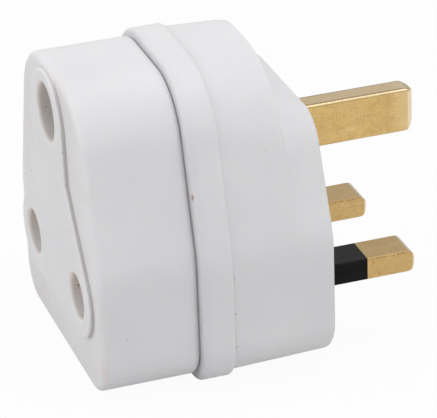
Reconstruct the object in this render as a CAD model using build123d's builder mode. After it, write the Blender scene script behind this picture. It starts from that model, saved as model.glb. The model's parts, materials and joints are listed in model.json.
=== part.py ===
from build123d import *
from math import sqrt
import os

# Plug adapter: three round sockets on the front, three flat pins on the back
# X runs to the right seen from the sockets, Y towards the pin tips, Z up
# Y = 0 is the face that meets the wall socket, Z = 0 the line through the two lower pins
# All sizes are in millimetres

# Flat pins
lower_pin_x = 22.23 / 2
earth_pin_z = 22.23
lower_pin_width, lower_pin_height, lower_pin_length = 6.35, 4.0, 17.7
earth_pin_width, earth_pin_height, earth_pin_length = 4.0, 8.0, 22.7
lower_pin_corner, lower_pin_edge, lower_pin_nose_r = 0.5, 0.15, 1.7
earth_pin_corner, earth_pin_edge = 1.2, 0.35
earth_pin_nose_r, earth_pin_bevel, earth_pin_bevel_drop = 2.1, 1.75, 0.7
sleeve_wall = 0.5
sleeve_end_y = 9.0
slot_gap = 0.05
flange_width, flange_height, flange_thickness = 9.2, 6.6, 1.2
earth_flange_width, earth_flange_height = 8.0, 10.8

# Round sockets
socket_x = 25.4 / 2
socket_z = 4.54
earth_socket_z = 32.5
socket_r = 3.75
earth_socket_r = 4.8
mouth_r = 0.8

# Outline of the band, the widest section: a house shape with rounded corners
band_top = 41.0
band_bottom = -12.4
band_half_width = 24.2
shoulder_x = 16.2
shoulder_r = 13.5
knee_z = 12.0
knee_r = 14.0
foot_r = 7.8
band_edge_r = 0.7

# Stations along Y
boss_y = -41.8
rim_y = -40.9
front_wall_y = -38.5
parting_y = -23.74
band_rear_y = -18.1
crease_y = -7.5
rear_wall_y = -3.0

# How far each moulding stands inside the band: top, side, bottom
front_inset = (1.06, 1.7, 1.43)
rear_inset = (0.8, 0.5, 0.86)
rear_draft = 0.5
front_edge_r = 1.1
parting_edge_r = 1.2
face_edge_r = 1.4
wall = 1.8
lip_length = 2.3
lip_recess = (1.9, 2.4, 2.3)
rear_hollow = (2.7, 2.6, 2.9)
rear_hollow_end_y = -10.6
face_hollow_drop = 9.0
hollow_shoulder_r = 7.5
fit_gap = 0.1

# Scoop of the rear top, from the crease on: depth behind it, drop of the top, shoulder radius, and
# how much the shoulder corners move out
crest = (0.0, 0.0, 17.3, 0.0)
ledge = (0.9, 6.0, 14.0, 0.8)
valley = (4.0, 7.7, 10.5, 0.0)
face = (7.5, 8.75, 7.4, -0.7)

# Raised field round the sockets
boss_lobe_r = 7.1
boss_crown_r = 8.6
boss_crown_z = 31.1
boss_root = 0.8
boss_waist_x = 8.2
boss_waist_z = 22.6
boss_waist_r = 0.8
boss_edge_r = 0.45

# Assembly screws, each in a post of the front cover inside a pillar of the rear cover
screw_places = [(-10.5, 25.5), (10.5, 25.5), (0.0, -5.2)]
screw_r = 1.25
screw_head_r, screw_head = 2.7, 1.3
screw_recess_r, screw_recess = 2.95, 1.7
screw_tip_y = -26.0
screw_cross_length, screw_cross_width, screw_cross_depth = 3.4, 0.8, 0.7
pilot_end_y = -26.5
post_r = 2.5
post_shoulder_r = 3.0
pillar_r = 3.7
pillar_step_y = -20.0
screw_clearance = 0.45

# Shutter, closed; the long earth pin of a plug drives it down
shutter_front_y = -38.2
shutter_back_y = -36.0
stem_half_width = 5.2
stem_low, stem_high = 9.0, 28.4
window_width, window_low, window_high = 3.4, 9.95, 27.0
lobe_width, lobe_height, lobe_corner = 9.3, 8.3, 2.5
bar_low, bar_high = 7.0, 9.9
ramp_half_width = 4.4
ramp_rise, ramp_thickness = 8.8, 2.4
guide_gap = 0.3
guide_wall = 1.1
guide_low, guide_high = 13.0, 24.0
spring_seat_low, spring_seat_z = 10.2, 12.0
spring_wire_r = 0.16
spring_coil_r = 1.0
spring_turns = 9

# Contact carrier, a plate on the posts with a sleeve for each contact
carrier_front_y = -35.7
carrier_back_y = -33.7
carrier_gap = 0.3
carrier_sleeve_r, carrier_bore_r, carrier_sleeve_end_y = 5.7, 4.5, -24.0
cradle_r, cradle_bore_r = 6.4, 5.2
cradle_start_y, cradle_end_y = -28.8, -18.0
cradle_top = 37.5
ramp_window_width, ramp_window_low = 9.8, 18.3

# Socket contacts
contact_mouth_y, contact_base_y = -34.5, -19.3
contact_r, contact_wall = 4.0, 0.6
earth_contact_mouth_y, earth_contact_base_y = -28.0, -12.0
earth_contact_r, earth_contact_wall = 4.7, 0.5
contact_floor = 1.0
slit_width, slit_length = 0.9, 9.0
ring_wall, ring_width, ring_set_back, ring_gap = 0.35, 3.0, 2.0, 5.0

# Straps and fuse
strip = 0.8
fuse_y, fuse_z = -6.6, 10.6
fuse_length, fuse_cap_length, fuse_cap_wall = 25.4, 6.2, 0.25
fuse_cap_r = 3.175
clip_x, clip_width = 9.5, 4.0
clip_base_y, clip_tip_y = -11.8, -4.6
line_strap_low, line_strap_high = 11.0, 14.5
strap_half_width = 3.5

# Fuse drawer and its pocket
pocket_width, pocket_height = 28.6, 8.8
pocket_wall, pocket_end_y = 1.1, -10.8
drawer_gap = 0.2
drawer_face = 2.0
cheek, drawer_end_y = 0.9, -9.6
saddle_width, finger_wall = 8.0, 0.7
notch_width, notch_height, notch_depth = 6.0, 1.3, 1.1

os.makedirs("parts", exist_ok=True)


# A plane across the adapter at depth y, drawn with X to the right and Z up
def across(y):
    return Plane.XZ.offset(-y)


# The band's outline at depth y, set in by the given amounts, its top lowered by drop and its
# shoulder corners moved out by widen
def outline(y, top, side, bottom, drop=0.0, shoulder=shoulder_r, widen=0.0):
    high = band_top - drop
    lean = (band_half_width - shoulder_x - widen) / (high - knee_z)
    slant = side * sqrt(1 + lean * lean)
    x_top = shoulder_x + widen + lean * top - slant
    x_side = band_half_width - side
    z_knee = knee_z - (slant - side) / lean
    z_foot = band_bottom + bottom
    corners = [
        (-x_top, high - top), (x_top, high - top), (x_side, z_knee),
        (x_side, z_foot), (-x_side, z_foot), (-x_side, z_knee),
    ]
    crown, foot = shoulder - side, foot_r - side
    with BuildSketch(across(y)) as section:
        with BuildLine():
            FilletPolyline(*corners, radius=[crown, crown, knee_r, foot, foot, knee_r], close=True)
        make_face()
    return section.sketch


# Add one amount to each of the three insets
def deeper(insets, amount):
    return [inset + amount for inset in insets]


# Write one finished piece under its own name
def save(piece, name):
    piece.label = name
    export_step(piece, "parts/" + name + ".step")


# Raised field: a crown round the earth socket, a waist, and a lobe round each lower socket
with BuildPart() as raised_field:
    root_y = rim_y + boss_root
    with BuildSketch(across(root_y)):
        with Locations((-socket_x, socket_z), (socket_x, socket_z)):
            Circle(boss_lobe_r)
        with Locations((-boss_waist_x, boss_waist_z), (boss_waist_x, boss_waist_z)):
            Circle(boss_waist_r)
        make_hull()
    extrude(amount=root_y - boss_y)
    with BuildSketch(across(root_y)):
        with Locations((0, boss_crown_z)):
            Circle(boss_crown_r)
        with Locations((-boss_waist_x, boss_waist_z), (boss_waist_x, boss_waist_z)):
            Circle(boss_waist_r)
        make_hull()
    extrude(amount=root_y - boss_y)
    fillet(raised_field.faces().sort_by(Axis.Y)[0].edges(), boss_edge_r)

# Front cover: shell, raised field, socket holes, screw posts and shutter guides
with BuildPart() as front_cover:
    extrude(outline(parting_y, *front_inset), amount=parting_y - rim_y)
    fillet(front_cover.faces().sort_by(Axis.Y)[0].edges(), front_edge_r)
    fillet(front_cover.faces().sort_by(Axis.Y)[-1].edges(), parting_edge_r)
    add(raised_field.part)
    lip = outline(parting_y - parting_edge_r, *deeper(lip_recess, fit_gap))
    extrude(lip, amount=-parting_edge_r - lip_length)
    hollow = outline(front_wall_y, *deeper(front_inset, wall))
    extrude(hollow, amount=front_wall_y - parting_y - lip_length, mode=Mode.SUBTRACT)
    with BuildSketch(across(front_wall_y)):
        with Locations(*screw_places):
            Circle(post_shoulder_r)
    extrude(amount=front_wall_y - carrier_front_y)
    with BuildSketch(across(front_wall_y)):
        with Locations(*screw_places):
            Circle(post_r)
    extrude(amount=front_wall_y - pillar_step_y + fit_gap)
    with BuildSketch(across(pillar_step_y)):
        with Locations(*screw_places):
            Circle(screw_r)
    extrude(amount=pillar_step_y - pilot_end_y, mode=Mode.SUBTRACT)
    guide_x = stem_half_width + guide_gap + guide_wall / 2
    guide_z = (guide_low + guide_high) / 2
    with BuildSketch(across(front_wall_y)):
        with Locations((-guide_x, guide_z), (guide_x, guide_z)):
            Rectangle(guide_wall, guide_high - guide_low)
        with Locations((0, (spring_seat_low + spring_seat_z) / 2)):
            Rectangle(window_width - 2 * guide_gap, spring_seat_z - spring_seat_low)
    extrude(amount=front_wall_y - shutter_back_y)
    with BuildSketch(across(front_wall_y)):
        with Locations((-socket_x, socket_z), (socket_x, socket_z)):
            Circle(socket_r)
        with Locations((0, earth_socket_z)):
            Circle(earth_socket_r)
    extrude(amount=front_wall_y - boss_y, mode=Mode.SUBTRACT)
    rims = front_cover.edges().filter_by(GeomType.CIRCLE).filter_by(lambda edge: edge.is_closed)
    fillet(rims.group_by(Axis.Y)[0], mouth_r)

# Rear cover: band, rear half with its scooped top, pin slots, fuse pocket and screw pillars
with BuildPart() as rear_cover:
    extrude(outline(band_rear_y, 0, 0, 0), amount=band_rear_y - parting_y)
    fillet(rear_cover.edges().filter_by(Plane.XZ), band_edge_r)
    stations = []
    for behind, drop, shoulder, widen in (crest, ledge, valley, face):
        y = crease_y + behind
        insets = deeper(rear_inset, rear_draft * (y - band_rear_y) / -band_rear_y)
        stations.append(outline(y, *insets, drop=drop, shoulder=shoulder, widen=widen))
    loft([outline(band_rear_y - band_edge_r, *rear_inset), stations[0]])
    loft(stations[:2])
    loft(stations[1:])
    fillet(rear_cover.faces().sort_by(Axis.Y)[-1].edges(), face_edge_r)
    extrude(outline(parting_y, *lip_recess), amount=-lip_length - fit_gap, mode=Mode.SUBTRACT)
    hollow = outline(parting_y, *rear_hollow)
    extrude(hollow, amount=parting_y - rear_hollow_end_y, mode=Mode.SUBTRACT)
    hollow = outline(parting_y, *rear_hollow, drop=face_hollow_drop, shoulder=hollow_shoulder_r)
    extrude(hollow, amount=parting_y - rear_wall_y, mode=Mode.SUBTRACT)
    with BuildSketch(across(rear_wall_y)):
        with Locations((0, fuse_z)):
            Rectangle(pocket_width + 2 * pocket_wall, pocket_height + 2 * pocket_wall)
    extrude(amount=rear_wall_y - pocket_end_y)
    with BuildSketch(across(rear_wall_y)):
        with Locations(*screw_places):
            Circle(pillar_r)
    extrude(amount=rear_wall_y - carrier_back_y)
    with BuildSketch(across(0)):
        with Locations((0, fuse_z)):
            Rectangle(pocket_width, pocket_height)
    extrude(amount=-pocket_end_y, mode=Mode.SUBTRACT)
    with BuildSketch(across(0)):
        with Locations((-lower_pin_x, 0), (lower_pin_x, 0)):
            Rectangle(lower_pin_width + 2 * slot_gap, lower_pin_height + 2 * slot_gap)
        with Locations((0, earth_pin_z)):
            Rectangle(earth_pin_width + 2 * slot_gap, earth_pin_height + 2 * slot_gap)
    extrude(amount=-rear_wall_y, mode=Mode.SUBTRACT)
    with BuildSketch(across(pillar_step_y)):
        with Locations(*screw_places):
            Circle(post_r + fit_gap)
    extrude(amount=pillar_step_y - carrier_back_y, mode=Mode.SUBTRACT)
    with BuildSketch(across(0)):
        with Locations(*screw_places):
            Circle(screw_r + screw_clearance)
    extrude(amount=-pillar_step_y, mode=Mode.SUBTRACT)
    with BuildSketch(across(0)):
        with Locations(*screw_places):
            Circle(screw_recess_r)
    extrude(amount=screw_recess, mode=Mode.SUBTRACT)


# A flat pin along Y: blade with its side profile, neck under its sleeve if it has one, flange, tail
def flat_pin(x, z, size, corner, edge, nose, radii, flange, tail_y, sleeved):
    width, height, length = size
    blade_y = sleeve_end_y if sleeved else rear_wall_y
    neck = sleeve_wall if sleeved else 0.0
    flange_y = rear_wall_y - flange_thickness
    with BuildPart() as pin:
        with BuildSketch(across(blade_y)) as blade:
            Rectangle(width, height)
            chamfer(blade.vertices(), edge)
        extrude(amount=blade_y - length)
        with BuildSketch(Plane.XY):
            with BuildLine():
                Polyline(
                    (-width / 2, blade_y), (-width / 2, length - corner), (corner - width / 2, length),
                    (width / 2 - corner, length), (width / 2, length - corner), (width / 2, blade_y),
                    close=True,
                )
            make_face()
        extrude(amount=height, both=True, mode=Mode.INTERSECT)
        with BuildSketch(Plane.YZ):
            with BuildLine():
                FilletPolyline(
                    (blade_y, -height / 2), *nose, (blade_y, height / 2),
                    radius=[0.0, *radii, 0.0], close=True,
                )
            make_face()
        extrude(amount=width, both=True, mode=Mode.INTERSECT)
        with BuildSketch(across(flange_y)):
            Rectangle(width - 2 * neck, height - 2 * neck)
        extrude(amount=flange_y - blade_y)
        with BuildSketch(across(flange_y)):
            RectangleRounded(*flange, radius=1.0)
        extrude(amount=-flange_thickness)
        with BuildSketch(across(tail_y)):
            Rectangle(width, height)
        extrude(amount=tail_y - flange_y)
    return pin.part.moved(Location((x, 0, z)))


# The moulded sleeve that insulates the root of a lower pin
def pin_sleeve(x):
    with BuildPart() as sleeve:
        with BuildSketch(across(rear_wall_y)) as ring:
            Rectangle(lower_pin_width, lower_pin_height)
            chamfer(ring.vertices(), lower_pin_edge)
            Rectangle(
                lower_pin_width - 2 * sleeve_wall, lower_pin_height - 2 * sleeve_wall, mode=Mode.SUBTRACT
            )
        extrude(amount=rear_wall_y - sleeve_end_y)
    return sleeve.part.moved(Location((x, 0, 0)))


# A turned brass socket contact: blind tube with a flared mouth and two crossing slits
def socket_contact(x, z, mouth_y, base_y, outer_r, tube_wall):
    with BuildPart() as contact:
        with BuildSketch(across(base_y)):
            Circle(outer_r)
        extrude(amount=base_y - mouth_y)
        with BuildSketch(across(mouth_y)):
            Circle(outer_r - tube_wall)
        extrude(amount=mouth_y - base_y + contact_floor, mode=Mode.SUBTRACT)
        rim = contact.edges().filter_by(GeomType.CIRCLE).group_by(Axis.Y)[0].sort_by(SortBy.RADIUS)[0]
        chamfer(rim, tube_wall / 2)
        with BuildSketch(across(mouth_y)):
            Rectangle(slit_width, 2 * outer_r)
            Rectangle(2 * outer_r, slit_width)
        extrude(amount=-slit_length, mode=Mode.SUBTRACT)
    return contact.part.moved(Location((x, 0, z)))


# The open steel ring that keeps a contact's fingers closed
def contact_ring(x, z, mouth_y, inner_r):
    with BuildPart() as ring:
        with BuildSketch(across(mouth_y + ring_set_back)):
            Circle(inner_r + ring_wall)
            Circle(inner_r, mode=Mode.SUBTRACT)
            with Locations((0, inner_r)):
                Rectangle(ring_gap, inner_r, mode=Mode.SUBTRACT)
        extrude(amount=-ring_width)
    return ring.part.moved(Location((x, 0, z)))


# A fuse clip of brass strip: two sprung arms over the cap, and a base drawn down to low_z
def fuse_clip(x, low_z, foot_width):
    arm_z = fuse_cap_r + strip / 2
    low = low_z - fuse_z
    high = fuse_cap_r + strip
    with BuildPart() as clip:
        with BuildSketch(across(clip_base_y)):
            with Locations((0, (low + high) / 2)):
                Rectangle(clip_width, high - low)
            if foot_width:
                with Locations((foot_width / 2 - clip_width / 2, low + lower_pin_height / 2)):
                    Rectangle(foot_width, lower_pin_height)
        extrude(amount=-strip)
        with BuildSketch(across(clip_base_y + strip)):
            with Locations((0, -arm_z), (0, arm_z)):
                Rectangle(clip_width, strip)
        extrude(amount=clip_base_y + strip - clip_tip_y)
    return clip.part.moved(Location((x, 0, fuse_z)))


# Contact carrier: plate on the screw posts, sleeves for the lower contacts, cradle for the upper
with BuildPart() as contact_carrier:
    extrude(
        outline(carrier_back_y, *deeper(front_inset, wall + carrier_gap)),
        amount=carrier_back_y - carrier_front_y,
    )
    with BuildSketch(across(carrier_back_y)):
        with Locations((-socket_x, socket_z), (socket_x, socket_z)):
            Circle(carrier_sleeve_r)
    extrude(amount=carrier_back_y - carrier_sleeve_end_y)
    with BuildSketch(across(cradle_start_y)):
        with Locations((0, earth_socket_z)):
            Circle(cradle_r)
    extrude(amount=cradle_start_y - cradle_end_y)
    rib_width = cradle_r - cradle_bore_r
    rib_x = cradle_bore_r + rib_width / 2
    with BuildSketch(across(carrier_back_y)):
        with Locations((-rib_x, earth_socket_z), (rib_x, earth_socket_z)):
            Rectangle(rib_width, cradle_r)
    extrude(amount=carrier_back_y - cradle_start_y)
    with BuildSketch(across(cradle_start_y)):
        with Locations((0, earth_socket_z)):
            Circle(cradle_bore_r)
        with Locations((0, cradle_top)):
            Rectangle(4 * cradle_r, 2 * cradle_r, align=(Align.CENTER, Align.MIN))
    extrude(amount=cradle_start_y - cradle_end_y, mode=Mode.SUBTRACT)
    with BuildSketch(across(carrier_front_y)):
        with Locations((-socket_x, socket_z), (socket_x, socket_z)):
            Circle(carrier_bore_r)
        with Locations(*screw_places):
            Circle(post_r + fit_gap)
        with Locations((0, ramp_window_low)):
            Rectangle(ramp_window_width, band_top, align=(Align.CENTER, Align.MIN))
    extrude(amount=carrier_front_y - carrier_back_y, mode=Mode.SUBTRACT)
    with BuildSketch(across(carrier_back_y)):
        with Locations((-socket_x, socket_z), (socket_x, socket_z)):
            Circle(carrier_bore_r)
    extrude(amount=carrier_back_y - carrier_sleeve_end_y, mode=Mode.SUBTRACT)

# Shutter: stem with a spring window, two lobes behind the lower sockets, ramp behind the upper
with BuildPart() as shutter:
    with BuildSketch(across(shutter_back_y)):
        with Locations((-socket_x, socket_z), (socket_x, socket_z)):
            RectangleRounded(lobe_width, lobe_height, lobe_corner)
        with Locations((0, (bar_low + bar_high) / 2)):
            Rectangle(2 * socket_x, bar_high - bar_low)
        with Locations((0, (stem_low + stem_high) / 2)):
            Rectangle(2 * stem_half_width, stem_high - stem_low)
        with Locations((0, (window_low + window_high) / 2)):
            Rectangle(window_width, window_high - window_low, mode=Mode.SUBTRACT)
    extrude(amount=shutter_back_y - shutter_front_y)
    with BuildSketch(Plane.YZ):
        with BuildLine():
            Polyline(
                (shutter_front_y, stem_high), (shutter_front_y + ramp_rise, stem_high + ramp_rise),
                (shutter_front_y + ramp_rise, stem_high + ramp_rise - ramp_thickness),
                (shutter_back_y, stem_high - 1), (shutter_front_y, stem_high - 1), close=True,
            )
        make_face()
    extrude(amount=ramp_half_width, both=True)

# Shutter spring: a helix between its seat and the top of the stem's window
with BuildPart() as shutter_spring:
    spring_length = window_high - spring_seat_z - 2 * spring_wire_r
    with BuildLine() as coil:
        Helix(
            spring_length / spring_turns, spring_length, spring_coil_r,
            center=(0, (front_wall_y + carrier_front_y) / 2, spring_seat_z + spring_wire_r),
        )
    with BuildSketch(Plane(origin=coil.line @ 0, z_dir=coil.line % 0)):
        Rectangle(2 * spring_wire_r, 2 * spring_wire_r)
    sweep()

# Earth strap: a flat link from the earth contact's base to the earth pin's tail
with BuildPart() as earth_strap:
    strap_low = earth_pin_z - earth_pin_height / 2
    with BuildSketch(across(earth_contact_base_y)):
        with Locations((0, (strap_low + earth_socket_z) / 2)):
            SlotCenterToCenter(earth_socket_z - strap_low - 2, 2 * strap_half_width, rotation=90)
    extrude(amount=-strip)

# Neutral strap: a flat link from the neutral contact's base to the neutral pin's tail
with BuildPart() as neutral_strap:
    with BuildSketch(across(contact_base_y)):
        with Locations((-(socket_x + lower_pin_x) / 2, socket_z / 2)):
            RectangleRounded(2 * contact_r, socket_z + lower_pin_height, 1.0)
    extrude(amount=-strip)

# Line strap: from the line contact's base across to the far end of the fuse, then back to its clip
with BuildPart() as line_strap:
    leg_x = -clip_x - clip_width / 2
    with BuildSketch(across(contact_base_y)):
        with Locations((socket_x, 0)):
            Rectangle(2 * contact_r, line_strap_high, align=(Align.CENTER, Align.MIN))
        with Locations((leg_x, line_strap_low)):
            Rectangle(
                socket_x - leg_x, line_strap_high - line_strap_low, align=(Align.MIN, Align.MIN)
            )
    extrude(amount=-strip)
    with BuildSketch(across(contact_base_y + strip)):
        with Locations((leg_x, line_strap_low)):
            Rectangle(strip, line_strap_high - line_strap_low, align=(Align.MIN, Align.MIN))
    extrude(amount=contact_base_y + strip - clip_base_y)

# Fuse: ceramic barrel and two drawn end caps
with BuildPart() as fuse_tube:
    tube_r = fuse_cap_r - fuse_cap_wall
    with BuildSketch(Plane.YZ):
        with Locations((fuse_y, fuse_z)):
            Circle(tube_r)
    extrude(amount=fuse_length / 2 - fuse_cap_wall, both=True)
    waist_length = fuse_length / 2 - fuse_cap_length

with BuildPart() as fuse_caps:
    with BuildSketch(Plane.YZ):
        with Locations((fuse_y, fuse_z)):
            Circle(fuse_cap_r)
    extrude(amount=fuse_length / 2, both=True)
    with BuildSketch(Plane.YZ):
        with Locations((fuse_y, fuse_z)):
            Circle(2 * fuse_cap_r)
    extrude(amount=waist_length, both=True, mode=Mode.SUBTRACT)
    add(fuse_tube.part, mode=Mode.SUBTRACT)

# Fuse drawer: face flush with the adapter's face, end cheeks, and fingers that hold the barrel
with BuildPart() as fuse_carrier:
    face_width, face_height = pocket_width - 2 * drawer_gap, pocket_height - 2 * drawer_gap
    finger_z = tube_r + finger_wall / 2
    with BuildSketch(across(0)):
        with Locations((0, fuse_z)):
            RectangleRounded(face_width, face_height, 0.6)
    extrude(amount=drawer_face)
    with BuildSketch(across(-drawer_face)):
        with Locations(((cheek - face_width) / 2, fuse_z), ((face_width - cheek) / 2, fuse_z)):
            Rectangle(cheek, face_height)
    extrude(amount=-drawer_face - drawer_end_y)
    with BuildSketch(across(-drawer_face)):
        with Locations((0, fuse_z)):
            Rectangle(saddle_width, 2 * (tube_r + finger_wall))
    extrude(amount=-drawer_face - fuse_y)
    with BuildSketch(Plane.YZ):
        with Locations((fuse_y, fuse_z)):
            Circle(tube_r)
    extrude(amount=saddle_width, both=True, mode=Mode.SUBTRACT)
    with BuildSketch(across(0)):
        with Locations((0, fuse_z - face_height / 2)):
            Rectangle(notch_width, notch_height, align=(Align.CENTER, Align.MIN))
    extrude(amount=notch_depth, mode=Mode.SUBTRACT)

# Assembly screws: pan heads with a cross recess, sunk below the adapter's face
with BuildPart() as screws:
    with BuildSketch(across(-screw_recess)):
        with Locations(*screw_places):
            Circle(screw_r)
    extrude(amount=-screw_recess - screw_tip_y)
    with BuildSketch(across(-screw_recess)):
        with Locations(*screw_places):
            Circle(screw_head_r)
    extrude(amount=-screw_head)
    chamfer(screws.edges().filter_by(GeomType.CIRCLE).group_by(Axis.Y)[-1], screw_head / 3)
    with BuildSketch(across(screw_head - screw_recess)):
        with Locations(*screw_places):
            Rectangle(screw_cross_length, screw_cross_width)
            Rectangle(screw_cross_width, screw_cross_length)
    extrude(amount=screw_cross_depth, mode=Mode.SUBTRACT)

lower_size = (lower_pin_width, lower_pin_height, lower_pin_length)
lower_nose = [(lower_pin_length, -lower_pin_height / 2), (lower_pin_length, lower_pin_height / 2)]
lower_radii = [lower_pin_nose_r, lower_pin_nose_r]
lower_flange = (flange_width, flange_height)
neutral_tail_y = contact_base_y + strip
line_tail_y = clip_base_y + strip
earth_tail_y = earth_contact_base_y + strip
neutral_pin = flat_pin(
    -lower_pin_x, 0, lower_size, lower_pin_corner, lower_pin_edge, lower_nose, lower_radii,
    lower_flange, neutral_tail_y, True,
)
line_pin = flat_pin(
    lower_pin_x, 0, lower_size, lower_pin_corner, lower_pin_edge, lower_nose, lower_radii,
    lower_flange, line_tail_y, True,
)
earth_nose = [
    (earth_pin_length, -earth_pin_height / 2),
    (earth_pin_length, earth_pin_height / 2 - earth_pin_bevel_drop),
    (earth_pin_length - earth_pin_bevel, earth_pin_height / 2),
]
earth_pin = flat_pin(
    0, earth_pin_z, (earth_pin_width, earth_pin_height, earth_pin_length), earth_pin_corner,
    earth_pin_edge, earth_nose, [earth_pin_nose_r, earth_pin_edge, earth_pin_edge],
    (earth_flange_width, earth_flange_height), earth_tail_y, False,
)
earth_contact = socket_contact(
    0, earth_socket_z, earth_contact_mouth_y, earth_contact_base_y, earth_contact_r, earth_contact_wall
)

save(front_cover.part, "front_cover")
save(rear_cover.part, "rear_cover")
save(contact_carrier.part, "contact_carrier")
save(shutter.part, "shutter")
save(shutter_spring.part, "shutter_spring")
save(earth_pin, "earth_pin")
save(line_pin, "line_pin")
save(neutral_pin, "neutral_pin")
save(earth_contact, "earth_contact")
save(contact_ring(0, earth_socket_z, earth_contact_mouth_y, earth_contact_r), "earth_contact_ring")
for side, name in ((1, "line"), (-1, "neutral")):
    save(pin_sleeve(side * lower_pin_x), name + "_pin_sleeve")
    contact = socket_contact(
        side * socket_x, socket_z, contact_mouth_y, contact_base_y, contact_r, contact_wall
    )
    save(contact, name + "_contact")
    save(contact_ring(side * socket_x, socket_z, contact_mouth_y, contact_r), name + "_contact_ring")
save(earth_strap.part, "earth_strap")
save(neutral_strap.part, "neutral_strap")
save(line_strap.part, "line_strap")
foot_width = lower_pin_x + lower_pin_width / 2 - clip_x + clip_width / 2
save(fuse_clip(clip_x, -lower_pin_height / 2, foot_width), "line_pin_clip")
save(fuse_clip(-clip_x, fuse_z - fuse_cap_r - strip, 0), "line_feed_clip")
save(fuse_tube.part, "fuse_tube")
save(fuse_caps.part, "fuse_caps")
save(fuse_carrier.part, "fuse_carrier")
save(screws.part, "screws")
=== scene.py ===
import json
import math
import bmesh
import bpy
from mathutils import Matrix, Vector


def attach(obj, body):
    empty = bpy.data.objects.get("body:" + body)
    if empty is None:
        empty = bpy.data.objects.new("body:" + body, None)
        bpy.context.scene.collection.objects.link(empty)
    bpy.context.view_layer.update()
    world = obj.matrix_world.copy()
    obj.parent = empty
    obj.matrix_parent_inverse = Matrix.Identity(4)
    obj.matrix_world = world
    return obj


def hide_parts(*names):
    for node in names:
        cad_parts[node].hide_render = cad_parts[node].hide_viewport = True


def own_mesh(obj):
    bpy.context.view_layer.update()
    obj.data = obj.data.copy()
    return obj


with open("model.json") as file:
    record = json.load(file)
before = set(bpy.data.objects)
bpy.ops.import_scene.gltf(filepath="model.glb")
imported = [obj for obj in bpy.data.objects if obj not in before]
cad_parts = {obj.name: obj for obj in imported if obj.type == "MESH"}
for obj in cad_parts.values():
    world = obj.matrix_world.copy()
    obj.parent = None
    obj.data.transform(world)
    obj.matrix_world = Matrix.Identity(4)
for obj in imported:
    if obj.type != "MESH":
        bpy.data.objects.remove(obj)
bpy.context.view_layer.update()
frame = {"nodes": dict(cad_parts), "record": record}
nodes = frame["nodes"]
print("frame loaded:", len(nodes), "pieces")

# Camera: turned round the adapter from the socket side, a long lens from about half a metre
cameraView = {
    "azimuth": 71.863,          # degrees round Z from the front
    "elevation": 26.692,
    "roll": -2.1155,
    "distance": 0.491498,
    "lookAt": (0.0, -0.018, 0.010043),
    "slide": 0.0052276,         # along the picture's right
    "focalPixels": 2900.0,
    "pictureWidth": 437,
    "sensor": 36.0,
    "near": 0.01,
    "far": 20.0,
}


def makeCamera(view):
    turn, lift, roll = (math.radians(view[k]) for k in ("azimuth", "elevation", "roll"))
    level = Vector((math.cos(turn), math.sin(turn), 0.0))
    back = Vector((math.sin(turn) * math.cos(lift), -math.cos(turn) * math.cos(lift), math.sin(lift)))
    rise = back.cross(level)
    right = level * math.cos(roll) + rise * math.sin(roll)
    up = rise * math.cos(roll) - level * math.sin(roll)
    lens = bpy.data.cameras.new("camera")
    lens.sensor_width = view["sensor"]
    lens.sensor_fit = "HORIZONTAL"
    lens.lens = view["focalPixels"] * view["sensor"] / view["pictureWidth"]
    lens.clip_start, lens.clip_end = view["near"], view["far"]
    camera = bpy.data.objects.new("camera", lens)
    bpy.context.scene.collection.objects.link(camera)
    where = Vector(view["lookAt"]) + back * view["distance"] + right * view["slide"]
    facing = Matrix((right, up, back)).transposed().to_4x4()
    camera.matrix_world = Matrix.Translation(where) @ facing
    bpy.context.scene.camera = camera


makeCamera(cameraView)
print("camera set")


class Wire:  # one output of a shader node, so that shader maths reads as an expression
    def __init__(self, recipe, node, output):
        self.recipe, self.node, self.output = recipe, node, output

    def other(self, output):
        return Wire(self.recipe, self.node, output)

    def maths(self, operation, *values, clamp=False):
        settings = {"operation": operation, "use_clamp": clamp}
        return self.recipe.add("ShaderNodeMath", settings, dict(enumerate(values)))

    def __add__(self, value):
        return self.maths("ADD", self, value)

    def __radd__(self, value):
        return self.maths("ADD", value, self)

    def __sub__(self, value):
        return self.maths("SUBTRACT", self, value)

    def __rsub__(self, value):
        return self.maths("SUBTRACT", value, self)

    def __mul__(self, value):
        return self.maths("MULTIPLY", self, value)

    def __rmul__(self, value):
        return self.maths("MULTIPLY", value, self)

    def __truediv__(self, value):
        return self.maths("DIVIDE", self, value)

    def __pow__(self, value):
        return self.maths("POWER", self, value)

    def __gt__(self, value):
        return self.maths("GREATER_THAN", self, value)

    def __lt__(self, value):
        return self.maths("LESS_THAN", self, value)

    def __abs__(self):
        return self.maths("ABSOLUTE", self)

    def orMore(self, value):
        return self.maths("MAXIMUM", self, value)

    def held(self):  # kept between 0 and 1
        return self.maths("ADD", self, 0.0, clamp=True)


unstretched = (1.0, 1.0, 1.0)


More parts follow.
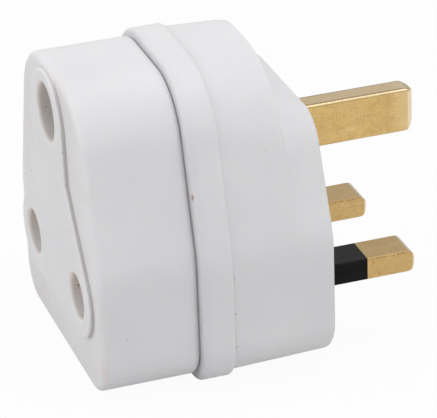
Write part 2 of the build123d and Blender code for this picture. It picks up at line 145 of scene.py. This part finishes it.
class Recipe:  # one material and the nodes that make it
    def __init__(self, name):
        self.material = bpy.data.materials.new(name)
        self.material.use_nodes = True
        self.tree = self.material.node_tree
        self.shader = self.tree.nodes["Principled BSDF"]
        self.place = self.add("ShaderNodeTexCoord", {}, {}, "Object")

    def feed(self, socket, value):
        if isinstance(value, Wire):
            self.tree.links.new(value.node.outputs[value.output], socket)
        elif isinstance(value, tuple) and len(value) == 3 and socket.type == "RGBA":
            socket.default_value = (*value, 1.0)
        else:
            socket.default_value = value

    def add(self, kind, settings, values, output=0):
        node = self.tree.nodes.new(kind)
        for key, value in settings.items():
            setattr(node, key, value)
        for key, value in values.items():
            self.feed(node.inputs[key], value)
        return Wire(self, node, output)

    def noise(self, scale, detail=3.0, rough=0.55, stretch=unstretched):
        place = self.place
        if stretch != unstretched:
            place = self.add("ShaderNodeMapping", {}, {"Vector": self.place, "Scale": stretch})
        values = {"Vector": place, "Scale": scale, "Detail": detail, "Roughness": rough}
        return self.add("ShaderNodeTexNoise", {}, values)

    def cells(self, scale):  # the distance to scattered points, and a chance from 0 to 1 for each
        far = self.add("ShaderNodeTexVoronoi", {}, {"Vector": self.place, "Scale": scale})
        return far, self.add("ShaderNodeSeparateColor", {}, {"Color": far.other("Color")})

    def spread(self, wire, low, high):  # low to high becomes 0 to 1
        return ((wire - low) / (high - low)).held()

    def near(self, gap, reach):  # 1 where the gap is nothing, 0 from reach on
        return (1.0 - gap / reach).held()

    def between(self, wire, low, high):
        return (wire > low) * (wire < high)

    def mix(self, factor, first, second):
        return self.add("ShaderNodeMix", {"data_type": "RGBA"}, {0: factor, 6: first, 7: second}, 2)

    def axes(self, vector=None):
        node = self.add("ShaderNodeSeparateXYZ", {}, {"Vector": vector or self.place})
        return node, node.other(1), node.other(2)

    def facing(self):  # the three parts of the direction that a face looks in
        return self.axes(self.add("ShaderNodeNewGeometry", {}, {}, "Normal"))

    def spot(self, where, size, squeeze=unstretched):  # 1 at a point, 0 from size away
        away = self.add("ShaderNodeVectorMath", {"operation": "SUBTRACT"}, {0: self.place, 1: where})
        if squeeze != unstretched:
            away = self.add("ShaderNodeVectorMath", {"operation": "MULTIPLY"}, {0: away, 1: squeeze})
        gap = self.add("ShaderNodeVectorMath", {"operation": "LENGTH"}, {0: away}, 1)
        return self.near(gap, size)

    def bump(self, height, distance, strength=1.0, under=None):
        values = {"Height": height, "Distance": distance, "Strength": strength}
        if under is not None:
            values["Normal"] = under
        return self.add("ShaderNodeBump", {}, values)

    def finish(self, **values):
        for key, value in values.items():
            self.feed(self.shader.inputs[key.replace("_", " ")], value)
        return self.material


# In the finishes, a noise is its scale, detail, roughness and stretch, a range is where a mask
# begins and where it is full, and relief is a bump's depth and strength
whiteFinish = {
    "colour": (0.690, 0.688, 0.702),
    "shade": (0.655, 0.649, 0.664),
    "bore": (0.680, 0.615, 0.570),      # a warm tint on the walls of the socket holes
    # dark brown for grime and painted shade along the seam and at the rim step, and for the nick
    "grime": (0.300, 0.245, 0.190),
    "rub": (0.660, 0.610, 0.575),       # handled edges
    "dust": (0.30, 0.26, 0.22),
    "seamShade": (0.620, 0.610, 0.630),    # painted shade on the slopes beside the seam and on the band's front edge
    # painted light in the bottom of the seam's gap
    "seamFloorLight": (0.840, 0.832, 0.838),
    "cloud": (70.0, 4.0),
    "blotch": (420.0, 4.0, 0.6),
    "grain": (5200.0, 2.0, 0.6),
    "ripple": (260.0, 2.0),
    "shadeRange": (0.35, 0.72),
    "grimeRange": (0.38, 0.66),
    "rubRange": (0.42, 0.62),
    "grainRelief": (0.00004, 0.5),
    "rippleRelief": (0.00004, 0.25),
    "grainHeight": 0.3,                 # beside 1 for the marks and the nick
    "roughness": 0.56,
    "cloudRough": 0.12,
    "grainRough": 0.10,
    "ior": 1.45,
    "gloss": 0.28,
    "glow": 0.45,                       # the moulding lets a little light through
    "glowDepth": 0.0010,
    "glowTint": (1.0, 0.92, 0.85),
    "specks": 300.0,                    # scale, then the size in a cell and the cells left out
    "speckSize": 0.03,
    "speckless": 0.90,
    "holes": ((-0.0127, 0.00454, 0.00385), (0.0127, 0.00454, 0.00385), (0.0, 0.0325, 0.0049)),
    "holeReach": 0.0006,
    "holeEnd": -0.0300,                 # the tint stops at this depth
    "holeRise": 0.75,                   # its strength at a hole's middle, more above and less below
    "seam": -0.02374,
    "rim": -0.0409,
    "margin": 0.00003,                  # keeps a face that lies on the seam or rim on its side
    "slopeReach": 0.0021,
    "leeReach": 0.0014,                 # painted shade on the band's front edge,
    "leeFull": 0.95,                    # with its tint at the height of 0
    "leeFade": 20.0,                    # and how fast that fades upwards
    "floorReach": 0.0005,               # the gap's floor, without the band's face beside it
    "floorEdge": 2.0,
    "floorFacing": -0.5,
    "grimeReach": 0.0007,
    "stepReach": 0.0006,
    "rubMiddle": 0.0004,                # behind the rim
    "rubReach": 0.0009,
    "strengths": {"slope": 0.58, "lee": 0.75, "rub": 0.45, "step": 0.30, "grime": 0.10, "specks": 0.5},
    "marks": (                          # place, size, strength: specks where the real one has them
        ((-0.01150, -0.04180, 0.01670), 0.00024, 0.90),
        ((0.00860, -0.04155, 0.02890), 0.00020, 0.40),
        ((0.01846, -0.03496, 0.02642), 0.00026, 0.14),
        ((0.01673, -0.04012, 0.03231), 0.00020, 0.20),
        ((0.02250, -0.03636, 0.00023), 0.00022, 0.34),
        ((-0.00418, -0.04180, 0.00116), 0.00030, 0.18),
        ((-0.00818, -0.04090, -0.00586), 0.00024, 0.20),
        ((0.01906, -0.01030, 0.02791), 0.00024, 0.16),
        ((0.02222, -0.01381, 0.01682), 0.00024, 0.12),
        ((0.02349, -0.01060, 0.00518), 0.00026, 0.12),
        ((0.02368, -0.01795, 0.00844), 0.00022, 0.40),
        ((0.02368, -0.01795, 0.00177), 0.00024, 0.50),
        ((0.02368, -0.01795, -0.00440), 0.00024, 0.45),
        ((-0.00450, -0.04050, 0.03175), 0.00016, 0.75),
        ((-0.00470, -0.04030, 0.03120), 0.00020, 0.70),
        ((-0.00440, -0.04000, 0.03090), 0.00014, 0.60),
        ((-0.00475, -0.04075, 0.03100), 0.00014, 0.45),
        ((-0.00450, -0.04090, 0.03165), 0.00012, 0.40),
        ((0.00895, -0.04027, 0.00447), 0.00024, 0.95),
        ((0.00899, -0.04000, 0.00390), 0.00016, 0.60),
        ((0.01237, -0.04110, 0.00076), 0.00030, 0.35),
        ((-0.01253, -0.04110, 0.00076), 0.00030, 0.35),
    ),
    "markEdge": 2.5,                    # how sharply a mark ends
    "nick": ((0.02090, -0.02372, 0.02290), 0.00042, (1.0, 1.6, 0.6)),
    "nickEdge": 2.0,
    "stain": ((0.02235, -0.04040, -0.00560), 0.00110, (1.0, 1.0, 0.22)),
    "stainStrength": 0.55,
}


def whitePlastic(name, finish):
    r = Recipe(name)
    x, y, z = r.axes()
    back = r.facing()[1]
    cloud, blotch, grain, ripple = (r.noise(*finish[k]) for k in ("cloud", "blotch", "grain", "ripple"))
    far, chance = r.cells(finish["specks"])
    specks = (far < finish["speckSize"]) * (chance > finish["speckless"])
    seam, rim, margin, strengths = (finish[k] for k in ("seam", "rim", "margin", "strengths"))

    bores = 0.0
    for middleX, middleZ, radius in finish["holes"]:
        away = ((x - middleX) ** 2.0 + (z - middleZ) ** 2.0) ** 0.5
        rise = ((z - middleZ) / (2.0 * radius) + finish["holeRise"]).held()
        bores = r.near(away - radius, finish["holeReach"]) * rise + bores
    bores = bores * (y < finish["holeEnd"])

    gap = abs(y - seam)
    # painted shade on the slopes either side of the seam
    slope = r.near(gap, finish["slopeReach"])
    # painted light in the bottom of the seam's gap, off the band's front face
    floor = r.near(gap, finish["floorReach"]) * (y < seam + margin) * (back > finish["floorFacing"])
    # painted shade on the band's front edge, strongest at the bottom and fading upwards
    lee = r.near(y - seam, finish["leeReach"]) * (y > seam - margin)
    lee = lee * (finish["leeFull"] - z * finish["leeFade"]).held()
    # grime and painted shade along the seam, in blotches
    grime = r.near(gap, finish["grimeReach"]) * r.spread(blotch, *finish["grimeRange"])
    # grime and painted shade on the wall of the step at the front rim
    step = r.between(y, rim - finish["stepReach"], rim - margin)
    rub = r.near(abs(y - rim - finish["rubMiddle"]), finish["rubReach"])
    rub = rub * r.spread(cloud, *finish["rubRange"])

    marks = 0.0
    for where, size, strength in finish["marks"]:
        marks = ((r.spot(where, size) * finish["markEdge"]).held() * strength).orMore(marks)
    nick = (r.spot(*finish["nick"]) * finish["nickEdge"]).held()
    stain = r.spot(*finish["stain"]) * finish["stainStrength"]

    colour = r.mix(r.spread(cloud, *finish["shadeRange"]), finish["colour"], finish["shade"])
    for mask, tint in (
        (slope * strengths["slope"], "seamShade"),
        (lee * strengths["lee"], "seamShade"),
        ((floor * finish["floorEdge"]).held(), "seamFloorLight"),
        ((rub * strengths["rub"] + stain).held(), "rub"),
        (step * strengths["step"], "grime"),
        (bores.held(), "bore"),
        ((grime * strengths["grime"] + nick).held(), "grime"),
        ((specks * strengths["specks"] + marks).held(), "dust"),
    ):
        colour = r.mix(mask, colour, finish[tint])
    roughness = finish["roughness"] + (cloud - 0.5) * finish["cloudRough"]
    roughness = roughness + (grain - 0.5) * finish["grainRough"]
    waves = r.bump(ripple, *finish["rippleRelief"])
    normal = r.bump(grain * finish["grainHeight"] - marks - nick, *finish["grainRelief"], waves)
    return r.finish(Base_Color=colour, Roughness=roughness, Normal=normal, Metallic=0.0,
                    IOR=finish["ior"], Specular_IOR_Level=finish["gloss"],
                    Subsurface_Weight=finish["glow"], Subsurface_Scale=finish["glowDepth"],
                    Subsurface_Radius=finish["glowTint"])


brassFinish = {
    "bright": (0.725, 0.512, 0.206),
    "dull": (0.510, 0.330, 0.125),
    "brown": (0.420, 0.270, 0.120),     # the lower pins are browner
    "topSheen": (0.860, 0.760, 0.580),      # painted sheen: faces that look up are paler
    # for rubbed wear, and for the painted highlights on the pins' noses and the earth pin's top edge
    "worn": (0.960, 0.860, 0.620),
    "stripHighlight": (0.900, 0.850, 0.740),      # painted highlight on the strip round the lower pins' tips
    "pit": (0.240, 0.145, 0.065),
    "line": (0.200, 0.120, 0.050),
    "stain": (420.0, 5.0, 0.62),
    "fleck": (3000.0, 5.0, 0.72),
    "grit": (5600.0, 3.0, 0.7),
    "rolled": (2600.0, 2.0, 0.5, (1.0, 0.06, 1.0)),
    "pits": 2300.0,
    "pitSize": 0.30,
    "pitEdge": 0.16,
    "pitless": 0.90,
    "pitRange": (0.40, 0.60),
    "tarnishShares": (0.55, 0.30, 0.15),    # of fleck, stain and grit
    "tarnishRange": (0.40, 0.62),
    "topTarnish": 0.25,                     # more of it on top of the lower pins
    "rubShares": (0.6, 0.4),                # of grit and rolled
    "rubRange": (0.56, 0.68),
    "reliefShares": (0.45, 0.25, 0.30),     # of fleck, grit and rolled
    "relief": (0.000030, 0.60),
    "roughness": 0.30,
    "roughShares": (0.16, 0.20, 0.25),      # of tarnish, grit and pits
    "lowerPins": 0.012,                     # those below this height
    "topRange": (0.60, 0.90),               # how far a face looks up
    "noseRange": (0.30, 0.60),              # or back
    "noseEnd": 0.90,
    "tipRange": (0.0180, 0.0226),
    "tipShare": 0.6,
    "stripRange": (0.34, 0.80),
    "stripUp": 0.40,
    "edgeFacing": 0.5,
    "topLine": (0.00146, 0.00175),          # dark lines of painted shade beside the earth pin's painted edge highlight, across it
    "topLineHeight": 0.0255,
    "sideLine": (0.02574, 0.02597),         # and up it
    "sideShare": 0.6,
    "lowLine": (0.00166, 0.00186),          # and a broken dark line along the lower pins
    "lowLineRange": (0.42, 0.56),
    "strengths": {"brown": 0.30, "topSheen": 0.46, "lowTopSheen": 0.30, "rub": 0.4, "nose": 0.40, "edge": 0.45,
                  "stripHighlight": 0.65, "line": 0.75, "pit": 0.85},
}


def shares(parts, weights):  # the sum of some wires, each times its weight
    total = parts[0] * weights[0]
    for part, weight in zip(parts[1:], weights[1:]):
        total = total + part * weight
    return total


def pinBrass(name, finish):
    r = Recipe(name)
    x, y, z = r.axes()
    right, back, up = r.facing()
    stain, fleck, grit, rolled = (r.noise(*finish[k]) for k in ("stain", "fleck", "grit", "rolled"))
    strengths = finish["strengths"]
    far, chance = r.cells(finish["pits"])
    pit = r.spread(finish["pitSize"] - far, 0.0, finish["pitEdge"]) * (chance > finish["pitless"])
    pit = pit * r.spread(stain, *finish["pitRange"])

    low = z < finish["lowerPins"]
    top = r.spread(up, *finish["topRange"])
    # painted highlight on faces that look back to the tips, growing towards the tips
    nose = r.spread(back, *finish["noseRange"]) * (back < finish["noseEnd"])
    nose = nose + r.spread(y, *finish["tipRange"]) * finish["tipShare"]
    # painted highlight on the bevels round the lower pins' tips
    strip = r.between(back, *finish["stripRange"]) * (up > finish["stripUp"]) * low
    # painted highlight on the earth pin's top edge bevel
    edge = (abs(right) > finish["edgeFacing"]) * (up > finish["edgeFacing"]) * (1.0 - low)
    # dark lines of painted shade beside the earth pin's painted edge highlight, and a broken dark line
    # along the lower pins
    lines = r.between(abs(x), *finish["topLine"]) * (z > finish["topLineHeight"]) * (1.0 - low)
    lines = r.between(z, *finish["sideLine"]) * finish["sideShare"] + lines
    lines = r.between(z, *finish["lowLine"]) * r.spread(fleck, *finish["lowLineRange"]) * low + lines

    tarnish = r.spread(shares((fleck, stain, grit), finish["tarnishShares"]), *finish["tarnishRange"])
    tarnish = (tarnish + top * low * finish["topTarnish"]).held()
    rubbed = r.spread(shares((grit, rolled), finish["rubShares"]), *finish["rubRange"])
    # rubbed wear, with the painted highlights on the noses and on the earth pin's top edge
    worn = (rubbed * strengths["rub"] + nose * strengths["nose"] + edge * strengths["edge"]).held()

    colour = r.mix(tarnish, finish["bright"], finish["dull"])
    for mask, tint in (
        (low * strengths["brown"], "brown"),
        # painted sheen on faces that look up, less on the lower pins
        (top * (strengths["topSheen"] - low * strengths["lowTopSheen"]), "topSheen"),
        (worn, "worn"),
        (strip * strengths["stripHighlight"], "stripHighlight"),
        (lines.held() * strengths["line"], "line"),
        (pit * strengths["pit"], "pit"),
    ):
        colour = r.mix(mask, colour, finish[tint])
    roughness = finish["roughness"] + shares((tarnish, grit - 0.5, pit), finish["roughShares"])
    relief = shares((fleck, grit, rolled), finish["reliefShares"]) - pit
    return r.finish(Base_Color=colour, Roughness=roughness.held(), Metallic=1.0,
                    Normal=r.bump(relief, *finish["relief"]))


blackFinish = {
    "colour": (0.0012, 0.0010, 0.0012),
    "worn": (0.0060, 0.0054, 0.0058),
    "dust": (0.0260, 0.0240, 0.0250),
    "rub": (420.0, 4.0, 0.6, (1.0, 0.35, 1.0)),
    "scuff": (3600.0, 2.0, 0.6, (1.0, 0.10, 1.0)),
    "grain": (5200.0, 2.0, 0.6),
    "wornShares": (0.7, 0.3),           # of rub and scuff
    "wornRange": (0.46, 0.70),
    "dustRange": (0.3, 0.9),            # how far a face looks up
    "dustShare": 0.4,                   # everywhere on top, and as much again where it is worn
    "reliefShares": (0.5, 0.5),         # of grain and scuff
    "relief": (0.000010, 0.5),
    "roughness": 0.42,
    "rubRough": 0.25,
    "gloss": 0.12,
}


def blackPlastic(name, finish):
    r = Recipe(name)
    rub, scuff, grain = (r.noise(*finish[k]) for k in ("rub", "scuff", "grain"))
    up = r.facing()[2]
    worn = r.spread(shares((rub, scuff), finish["wornShares"]), *finish["wornRange"])
    dust = r.spread(up, *finish["dustRange"]) * (worn * finish["dustShare"] + finish["dustShare"])
    colour = r.mix(worn, finish["colour"], finish["worn"])
    colour = r.mix(dust, colour, finish["dust"])
    roughness = finish["roughness"] + (rub - 0.5) * finish["rubRough"]
    normal = r.bump(shares((grain, scuff), finish["reliefShares"]), *finish["relief"])
    return r.finish(Base_Color=colour, Roughness=roughness, Normal=normal,
                    Specular_IOR_Level=finish["gloss"])


innerFinish = {
    "colour": (0.62, 0.60, 0.55),
    "shade": (0.54, 0.52, 0.47),
    "cloud": (160.0, 4.0),
    "grain": (3800.0, 2.0, 0.6),
    "cloudShares": (1.0, 0.0),
    "shadeRange": (0.35, 0.7),
    "relief": (0.000015, 0.5),
    "roughness": 0.5,
    "grainRough": 0.2,
    "ior": 1.5,
}
ceramicFinish = {
    "colour": (0.72, 0.69, 0.62),
    "shade": (0.62, 0.58, 0.50),
    "cloud": (260.0, 3.0),
    "grain": (2400.0, 3.0, 0.65),
    "cloudShares": (0.6, 0.4),          # of cloud and grain
    "shadeRange": (0.4, 0.65),
    "relief": (0.000020, 0.6),
    "roughness": 0.62,
    "grainRough": 0.2,
    "ior": 1.5,
}


def paleSolid(name, finish):  # the moulding inside, and the fuse's barrel
    r = Recipe(name)
    cloud, grain = r.noise(*finish["cloud"]), r.noise(*finish["grain"])
    shade = r.spread(shares((cloud, grain), finish["cloudShares"]), *finish["shadeRange"])
    colour = r.mix(shade, finish["colour"], finish["shade"])
    roughness = finish["roughness"] + (grain - 0.5) * finish["grainRough"]
    return r.finish(Base_Color=colour, Roughness=roughness, Normal=r.bump(grain, *finish["relief"]),
                    IOR=finish["ior"])


metalFinishes = {  # bright and dull colour, roughness, and the way the drawing lines run
    "drawnBrass": ((0.74, 0.53, 0.24), (0.58, 0.40, 0.18), 0.30, (1.0, 0.05, 1.0)),
    "nickelPlate": ((0.66, 0.64, 0.59), (0.54, 0.52, 0.46), 0.24, (0.05, 1.0, 1.0)),
    "springSteel": ((0.46, 0.47, 0.49), (0.31, 0.31, 0.32), 0.33, (1.0, 1.0, 0.1)),
    "zincSteel": ((0.58, 0.58, 0.58), (0.43, 0.43, 0.42), 0.36, unstretched),
}
metalGrain = {
    "lines": (3000.0, 3.0, 0.6),
    "stain": (380.0, 4.0),
    "dullRange": (0.4, 0.7),
    "roughShares": (0.2, 0.15),         # of lines and stain
    "relief": (0.000012, 0.5),
}


def drawnMetal(name, grain):
    bright, dull, roughness, stretch = metalFinishes[name]
    r = Recipe(name)
    lines, stain = r.noise(*grain["lines"], stretch), r.noise(*grain["stain"])
    colour = r.mix(r.spread(stain, *grain["dullRange"]), bright, dull)
    roughness = roughness + shares((lines - 0.5, stain - 0.5), grain["roughShares"])
    return r.finish(Base_Color=colour, Roughness=roughness, Metallic=1.0,
                    Normal=r.bump(lines, *grain["relief"]))


finishes = {
    "white_plastic": whitePlastic("whitePlastic", whiteFinish),
    "pin_brass": pinBrass("pinBrass", brassFinish),
    "black_plastic": blackPlastic("blackPlastic", blackFinish),
    "inner_plastic": paleSolid("innerPlastic", innerFinish),
    "contact_brass": drawnMetal("drawnBrass", metalGrain),
    "plated_brass": drawnMetal("nickelPlate", metalGrain),
    "spring_steel": drawnMetal("springSteel", metalGrain),
    "screw_steel": drawnMetal("zincSteel", metalGrain),
    "ceramic": paleSolid("ceramic", ceramicFinish),
}
for entry in frame["record"]["subparts"]:
    mesh = nodes[entry["node"]].data
    mesh.materials.clear()
    mesh.materials.append(finishes[entry["material_slot"]])
print("finishes:", len(finishes))


# Rear cover: its solid with the top lifted between the band and the scoop
crestSizes = {
    "band": (-0.0188, -0.0181),         # the lift begins across the band's rear edge,
    "crest": (-0.0077, -0.0064),        # is full at the crest and ends in the scoop,
    "side": (0.0200, 0.0398),           # and fades down the shoulders
    "atBand": 0.00025,
    "atCrest": 0.00085,
    "weld": 0.0000005,                  # points nearer than this are merged
    "longest": 0.0015,                  # longer edges are cut before the lift
    "cuts": 5,
}


def liftAt(y, z, sizes):
    begin, band = sizes["band"]
    crest, end = sizes["crest"]
    low, high = sizes["side"]
    if y < band:
        rise = sizes["atBand"] * max(0.0, (y - begin) / (band - begin))
    elif y < crest:
        rise = sizes["atBand"] + (sizes["atCrest"] - sizes["atBand"]) * (y - band) / (crest - band)
    else:
        rise = sizes["atCrest"] * max(0.0, (end - y) / (end - crest))
    share = min(1.0, max(0.0, (z - low) / (high - low)))
    return rise * share * share * (3.0 - 2.0 * share)


def cutLongEdges(work, sizes):  # those in the part that is lifted
    begin, end, low = sizes["band"][0], sizes["crest"][1], sizes["side"][0]
    edges = []
    for edge in work.edges:
        middle = (edge.verts[0].co + edge.verts[1].co) / 2.0
        if edge.calc_length() > sizes["longest"] and begin < middle.y < end and middle.z > low:
            edges.append(edge)
    bmesh.ops.subdivide_edges(work, edges=edges, cuts=sizes["cuts"], use_grid_fill=False)
    bmesh.ops.triangulate(work, faces=work.faces)


def liftedCover(sizes):
    copy = nodes["rear_cover"].data.copy()
    facings = [part for corner in copy.corner_normals for part in corner.vector]
    copy.attributes.new("facing", "FLOAT_VECTOR", "CORNER").data.foreach_set("vector", facings)
    work = bmesh.new()
    work.from_mesh(copy)
    bmesh.ops.remove_doubles(work, verts=work.verts, dist=sizes["weld"])
    cutLongEdges(work, sizes)
    for vertex in work.verts:
        vertex.co.z += liftAt(vertex.co.y, vertex.co.z, sizes)
    mesh = bpy.data.meshes.new("rearCover")
    work.to_mesh(mesh)
    work.free()
    bpy.data.meshes.remove(copy)
    kept = [tuple(corner.vector) for corner in mesh.attributes["facing"].data]
    mesh.normals_split_custom_set(kept)  # the solid's own shading
    mesh.attributes.remove(mesh.attributes["facing"])
    mesh.materials.clear()
    mesh.materials.append(finishes["white_plastic"])
    piece = bpy.data.objects.new("rearCover", mesh)
    bpy.context.scene.collection.objects.link(piece)
    print("rear cover lifted:", len(mesh.vertices), "points")
    return piece


cover = liftedCover(crestSizes)
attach(cover, "housing")
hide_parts("rear_cover")


class Growth:  # one Geometry Nodes tree, with its inputs and the nodes by the names that it gives them
    def __init__(self, name, inputs, kinds):
        self.tree = bpy.data.node_groups.new(name, "GeometryNodeTree")
        for label, kind in inputs.items():
            self.tree.interface.new_socket(label, in_out="INPUT", socket_type="NodeSocket" + kind)
        self.tree.interface.new_socket("Mesh", in_out="OUTPUT", socket_type="NodeSocketGeometry")
        self.nodes = {"given": self.tree.nodes.new("NodeGroupInput")}
        for label, kind in kinds.items():
            self.nodes[label] = self.tree.nodes.new(kind)
        self.nodes["real"] = self.tree.nodes.new("GeometryNodeRealizeInstances")
        self.nodes["paint"] = self.tree.nodes.new("GeometryNodeSetMaterial")
        self.nodes["done"] = self.tree.nodes.new("NodeGroupOutput")

    def fix(self, label, socket, value):
        self.nodes[label].inputs[socket].default_value = value

    def join(self, *links):  # each link is a node and its output, then a node and its input
        ending = (("real", "Geometry", "paint", "Geometry"), ("given", "Finish", "paint", "Material"),
                  ("paint", "Geometry", "done", "Mesh"))
        for first, output, second, socket in (*links, *ending):
            self.tree.links.new(self.nodes[first].outputs[output], self.nodes[second].inputs[socket])
        return self.tree


def grown(name, tree, values, move=(0.0, 0.0, 0.0)):  # a plain mesh piece from a Geometry Nodes tree
    start = bpy.data.objects.new(name + "Start", bpy.data.meshes.new(name + "Start"))
    bpy.context.scene.collection.objects.link(start)
    modifier = start.modifiers.new("grow", "NODES")
    modifier.node_group = tree
    for item in tree.interface.items_tree:
        if item.in_out == "INPUT" and item.name in values:
            modifier[item.identifier] = values[item.name]
    bpy.context.view_layer.update()
    seen = start.evaluated_get(bpy.context.evaluated_depsgraph_get())
    mesh = bpy.data.meshes.new_from_object(seen)
    mesh.name = name
    mesh.transform(Matrix.Translation(move))
    piece = bpy.data.objects.new(name, mesh)
    bpy.context.scene.collection.objects.link(piece)
    bpy.data.objects.remove(start)
    return piece


# Shutter spring: a wire coil, made by Geometry Nodes
springSizes = {
    "turns": 9.0,
    "radius": 0.0010,
    "wire": 0.00016,
    "height": 0.01468,
    "foot": (0.0, -0.0371, 0.01216),
    "turnSteps": 26,
    "wireSides": 10,
}


def coilTree(sizes):
    coil = Growth(
        "coil",
        {"Turns": "Float", "Radius": "Float", "Height": "Float", "Wire": "Float", "Finish": "Material"},
        {"spiral": "GeometryNodeCurveSpiral", "ring": "GeometryNodeCurvePrimitiveCircle",
         "tube": "GeometryNodeCurveToMesh", "smooth": "GeometryNodeSetShadeSmooth"})
    coil.fix("spiral", "Resolution", sizes["turnSteps"])
    coil.fix("ring", "Resolution", sizes["wireSides"])
    coil.fix("tube", "Fill Caps", True)
    return coil.join(
        ("given", "Turns", "spiral", "Rotations"),
        ("given", "Radius", "spiral", "Start Radius"),
        ("given", "Radius", "spiral", "End Radius"),
        ("given", "Height", "spiral", "Height"),
        ("given", "Wire", "ring", "Radius"),
        ("spiral", "Curve", "tube", "Curve"),
        ("ring", "Curve", "tube", "Profile Curve"),
        ("tube", "Mesh", "smooth", "Geometry"),
        ("smooth", "Geometry", "real", "Geometry"))


spring = grown("shutterSpring", coilTree(springSizes), {
    "Turns": springSizes["turns"], "Radius": springSizes["radius"], "Height": springSizes["height"],
    "Wire": springSizes["wire"], "Finish": finishes["spring_steel"],
}, springSizes["foot"])
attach(spring, "housing")
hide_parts("shutter_spring")
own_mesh(spring)
print("spring coiled")

# Seam flash: crumbs of plastic left along the rear edge of the band on the right side
flashSizes = {
    "count": 34,
    "low": (0.02362, -0.01818, -0.0062),
    "high": (0.02376, -0.01800, 0.0098),
    "smallest": 0.00004,
    "largest": 0.00012,
    "seed": 7,
    "turn": (6.28, 6.28, 6.28),
    "roundness": 2,
}


def crumbTree(sizes):
    crumbs = Growth(
        "crumbs",
        {"Count": "Int", "Low": "Vector", "High": "Vector", "Smallest": "Float", "Largest": "Float",
         "Seed": "Int", "Finish": "Material"},
        {"points": "GeometryNodePoints", "place": "FunctionNodeRandomValue",
         "turn": "FunctionNodeRandomValue", "size": "FunctionNodeRandomValue",
         "crumb": "GeometryNodeMeshIcoSphere", "spread": "GeometryNodeInstanceOnPoints"})
    for label, kind in (("place", "FLOAT_VECTOR"), ("turn", "FLOAT_VECTOR"), ("size", "FLOAT")):
        crumbs.nodes[label].data_type = kind
    crumbs.fix("turn", 1, sizes["turn"])
    crumbs.fix("crumb", "Radius", 1.0)
    crumbs.fix("crumb", "Subdivisions", sizes["roundness"])
    return crumbs.join(
        ("given", "Count", "points", "Count"),
        ("given", "Low", "place", 0),
        ("given", "High", "place", 1),
        ("given", "Seed", "place", "Seed"),
        ("given", "Smallest", "size", 2),
        ("given", "Largest", "size", 3),
        ("given", "Seed", "size", "Seed"),
        ("place", 0, "points", "Position"),
        ("points", 0, "spread", "Points"),
        ("crumb", "Mesh", "spread", "Instance"),
        ("turn", 0, "spread", "Rotation"),
        ("size", 1, "spread", "Scale"),
        ("spread", "Instances", "real", "Geometry"))


flash = grown("seamFlash", crumbTree(flashSizes), {
    "Count": flashSizes["count"], "Low": flashSizes["low"], "High": flashSizes["high"],
    "Smallest": flashSizes["smallest"], "Largest": flashSizes["largest"], "Seed": flashSizes["seed"],
    "Finish": finishes["white_plastic"],
})
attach(flash, "housing")
print("seam flash:", len(flash.data.polygons), "faces")

# Floor: a plane that touches the band and the front moulding's bottom edge, so it leans a little
floorSizes = {
    "lean": 0.0850,             # radians
    "reach": 0.014314,
    "half": 3.0,
    "colour": (0.66, 0.66, 0.66),
    "tint": (0.64, 0.64, 0.64),
    "paper": (25.0, 2.0),
    "tintShare": 0.1,
    "roughness": 0.9,
    "glow": 0.95,               # the camera sees almost white
}
white = (1.0, 1.0, 1.0)


def makeFloor(sizes):
    half, lean = sizes["half"], sizes["lean"]
    corners = []
    for x, y in ((-half, -half), (half, -half), (half, half), (-half, half)):
        corners.append((x, y, -(sizes["reach"] + y * math.sin(lean)) / math.cos(lean)))
    mesh = bpy.data.meshes.new("floor")
    mesh.from_pydata(corners, [], [(0, 1, 2, 3)])
    floor = bpy.data.objects.new("floor", mesh)
    bpy.context.scene.collection.objects.link(floor)
    r = Recipe("floorWhite")
    colour = r.mix(r.noise(*sizes["paper"]) * sizes["tintShare"], sizes["colour"], sizes["tint"])
    r.finish(Base_Color=colour, Roughness=sizes["roughness"])
    rays = r.add("ShaderNodeLightPath", {}, {}, "Is Camera Ray")
    seen = (rays + rays.other("Is Glossy Ray") + rays.other("Is Transmission Ray")).held()
    glow = r.add("ShaderNodeEmission", {}, {"Color": white, "Strength": 1.0})
    blend = r.add("ShaderNodeMixShader", {}, {0: seen * sizes["glow"], 1: Wire(r, r.shader, 0), 2: glow})
    r.feed(r.tree.nodes["Material Output"].inputs["Surface"], blend)
    mesh.materials.append(r.material)


makeFloor(floorSizes)

# Studio: three soft lamps that look at the adapter's middle, in an even pale room
studio = {
    "ambient": 0.655,
    "aim": (0.0, -0.02, 0.01),
    "size": 0.60,
    "lamps": {"key": ((0.01, 0.10, 0.80), 2.85), "front": ((0.00, -0.85, 0.40), 2.35),
              "side": ((0.82, 0.28, 0.22), 1.28)},      # place and watts
}


def softbox(name, at, watts, size, aim):
    lamp = bpy.data.lights.new(name, "AREA")
    lamp.shape = "SQUARE"
    lamp.size = size
    lamp.energy = watts
    obj = bpy.data.objects.new(name, lamp)
    bpy.context.scene.collection.objects.link(obj)
    obj.location = at
    obj.rotation_euler = (Vector(aim) - Vector(at)).to_track_quat("-Z", "Y").to_euler()


def makeWorld(strength):  # the room lights the object, and the camera sees plain white
    world = bpy.data.worlds.new("studio")
    bpy.context.scene.world = world
    world.use_nodes = True
    tree = world.node_tree
    room = tree.nodes["Background"]
    backdrop = tree.nodes.new("ShaderNodeBackground")
    for node, level in ((room, strength), (backdrop, 1.0)):
        node.inputs["Color"].default_value = (*white, 1.0)
        node.inputs["Strength"].default_value = level
    rays = tree.nodes.new("ShaderNodeLightPath")
    blend = tree.nodes.new("ShaderNodeMixShader")
    tree.links.new(rays.outputs["Is Camera Ray"], blend.inputs[0])
    tree.links.new(room.outputs[0], blend.inputs[1])
    tree.links.new(backdrop.outputs[0], blend.inputs[2])
    tree.links.new(blend.outputs[0], tree.nodes["World Output"].inputs["Surface"])


makeWorld(studio["ambient"])
for name, (at, watts) in studio["lamps"].items():
    softbox(name, at, watts, studio["size"], studio["aim"])
bpy.context.scene.view_settings.view_transform = "Standard"
print("studio lit")
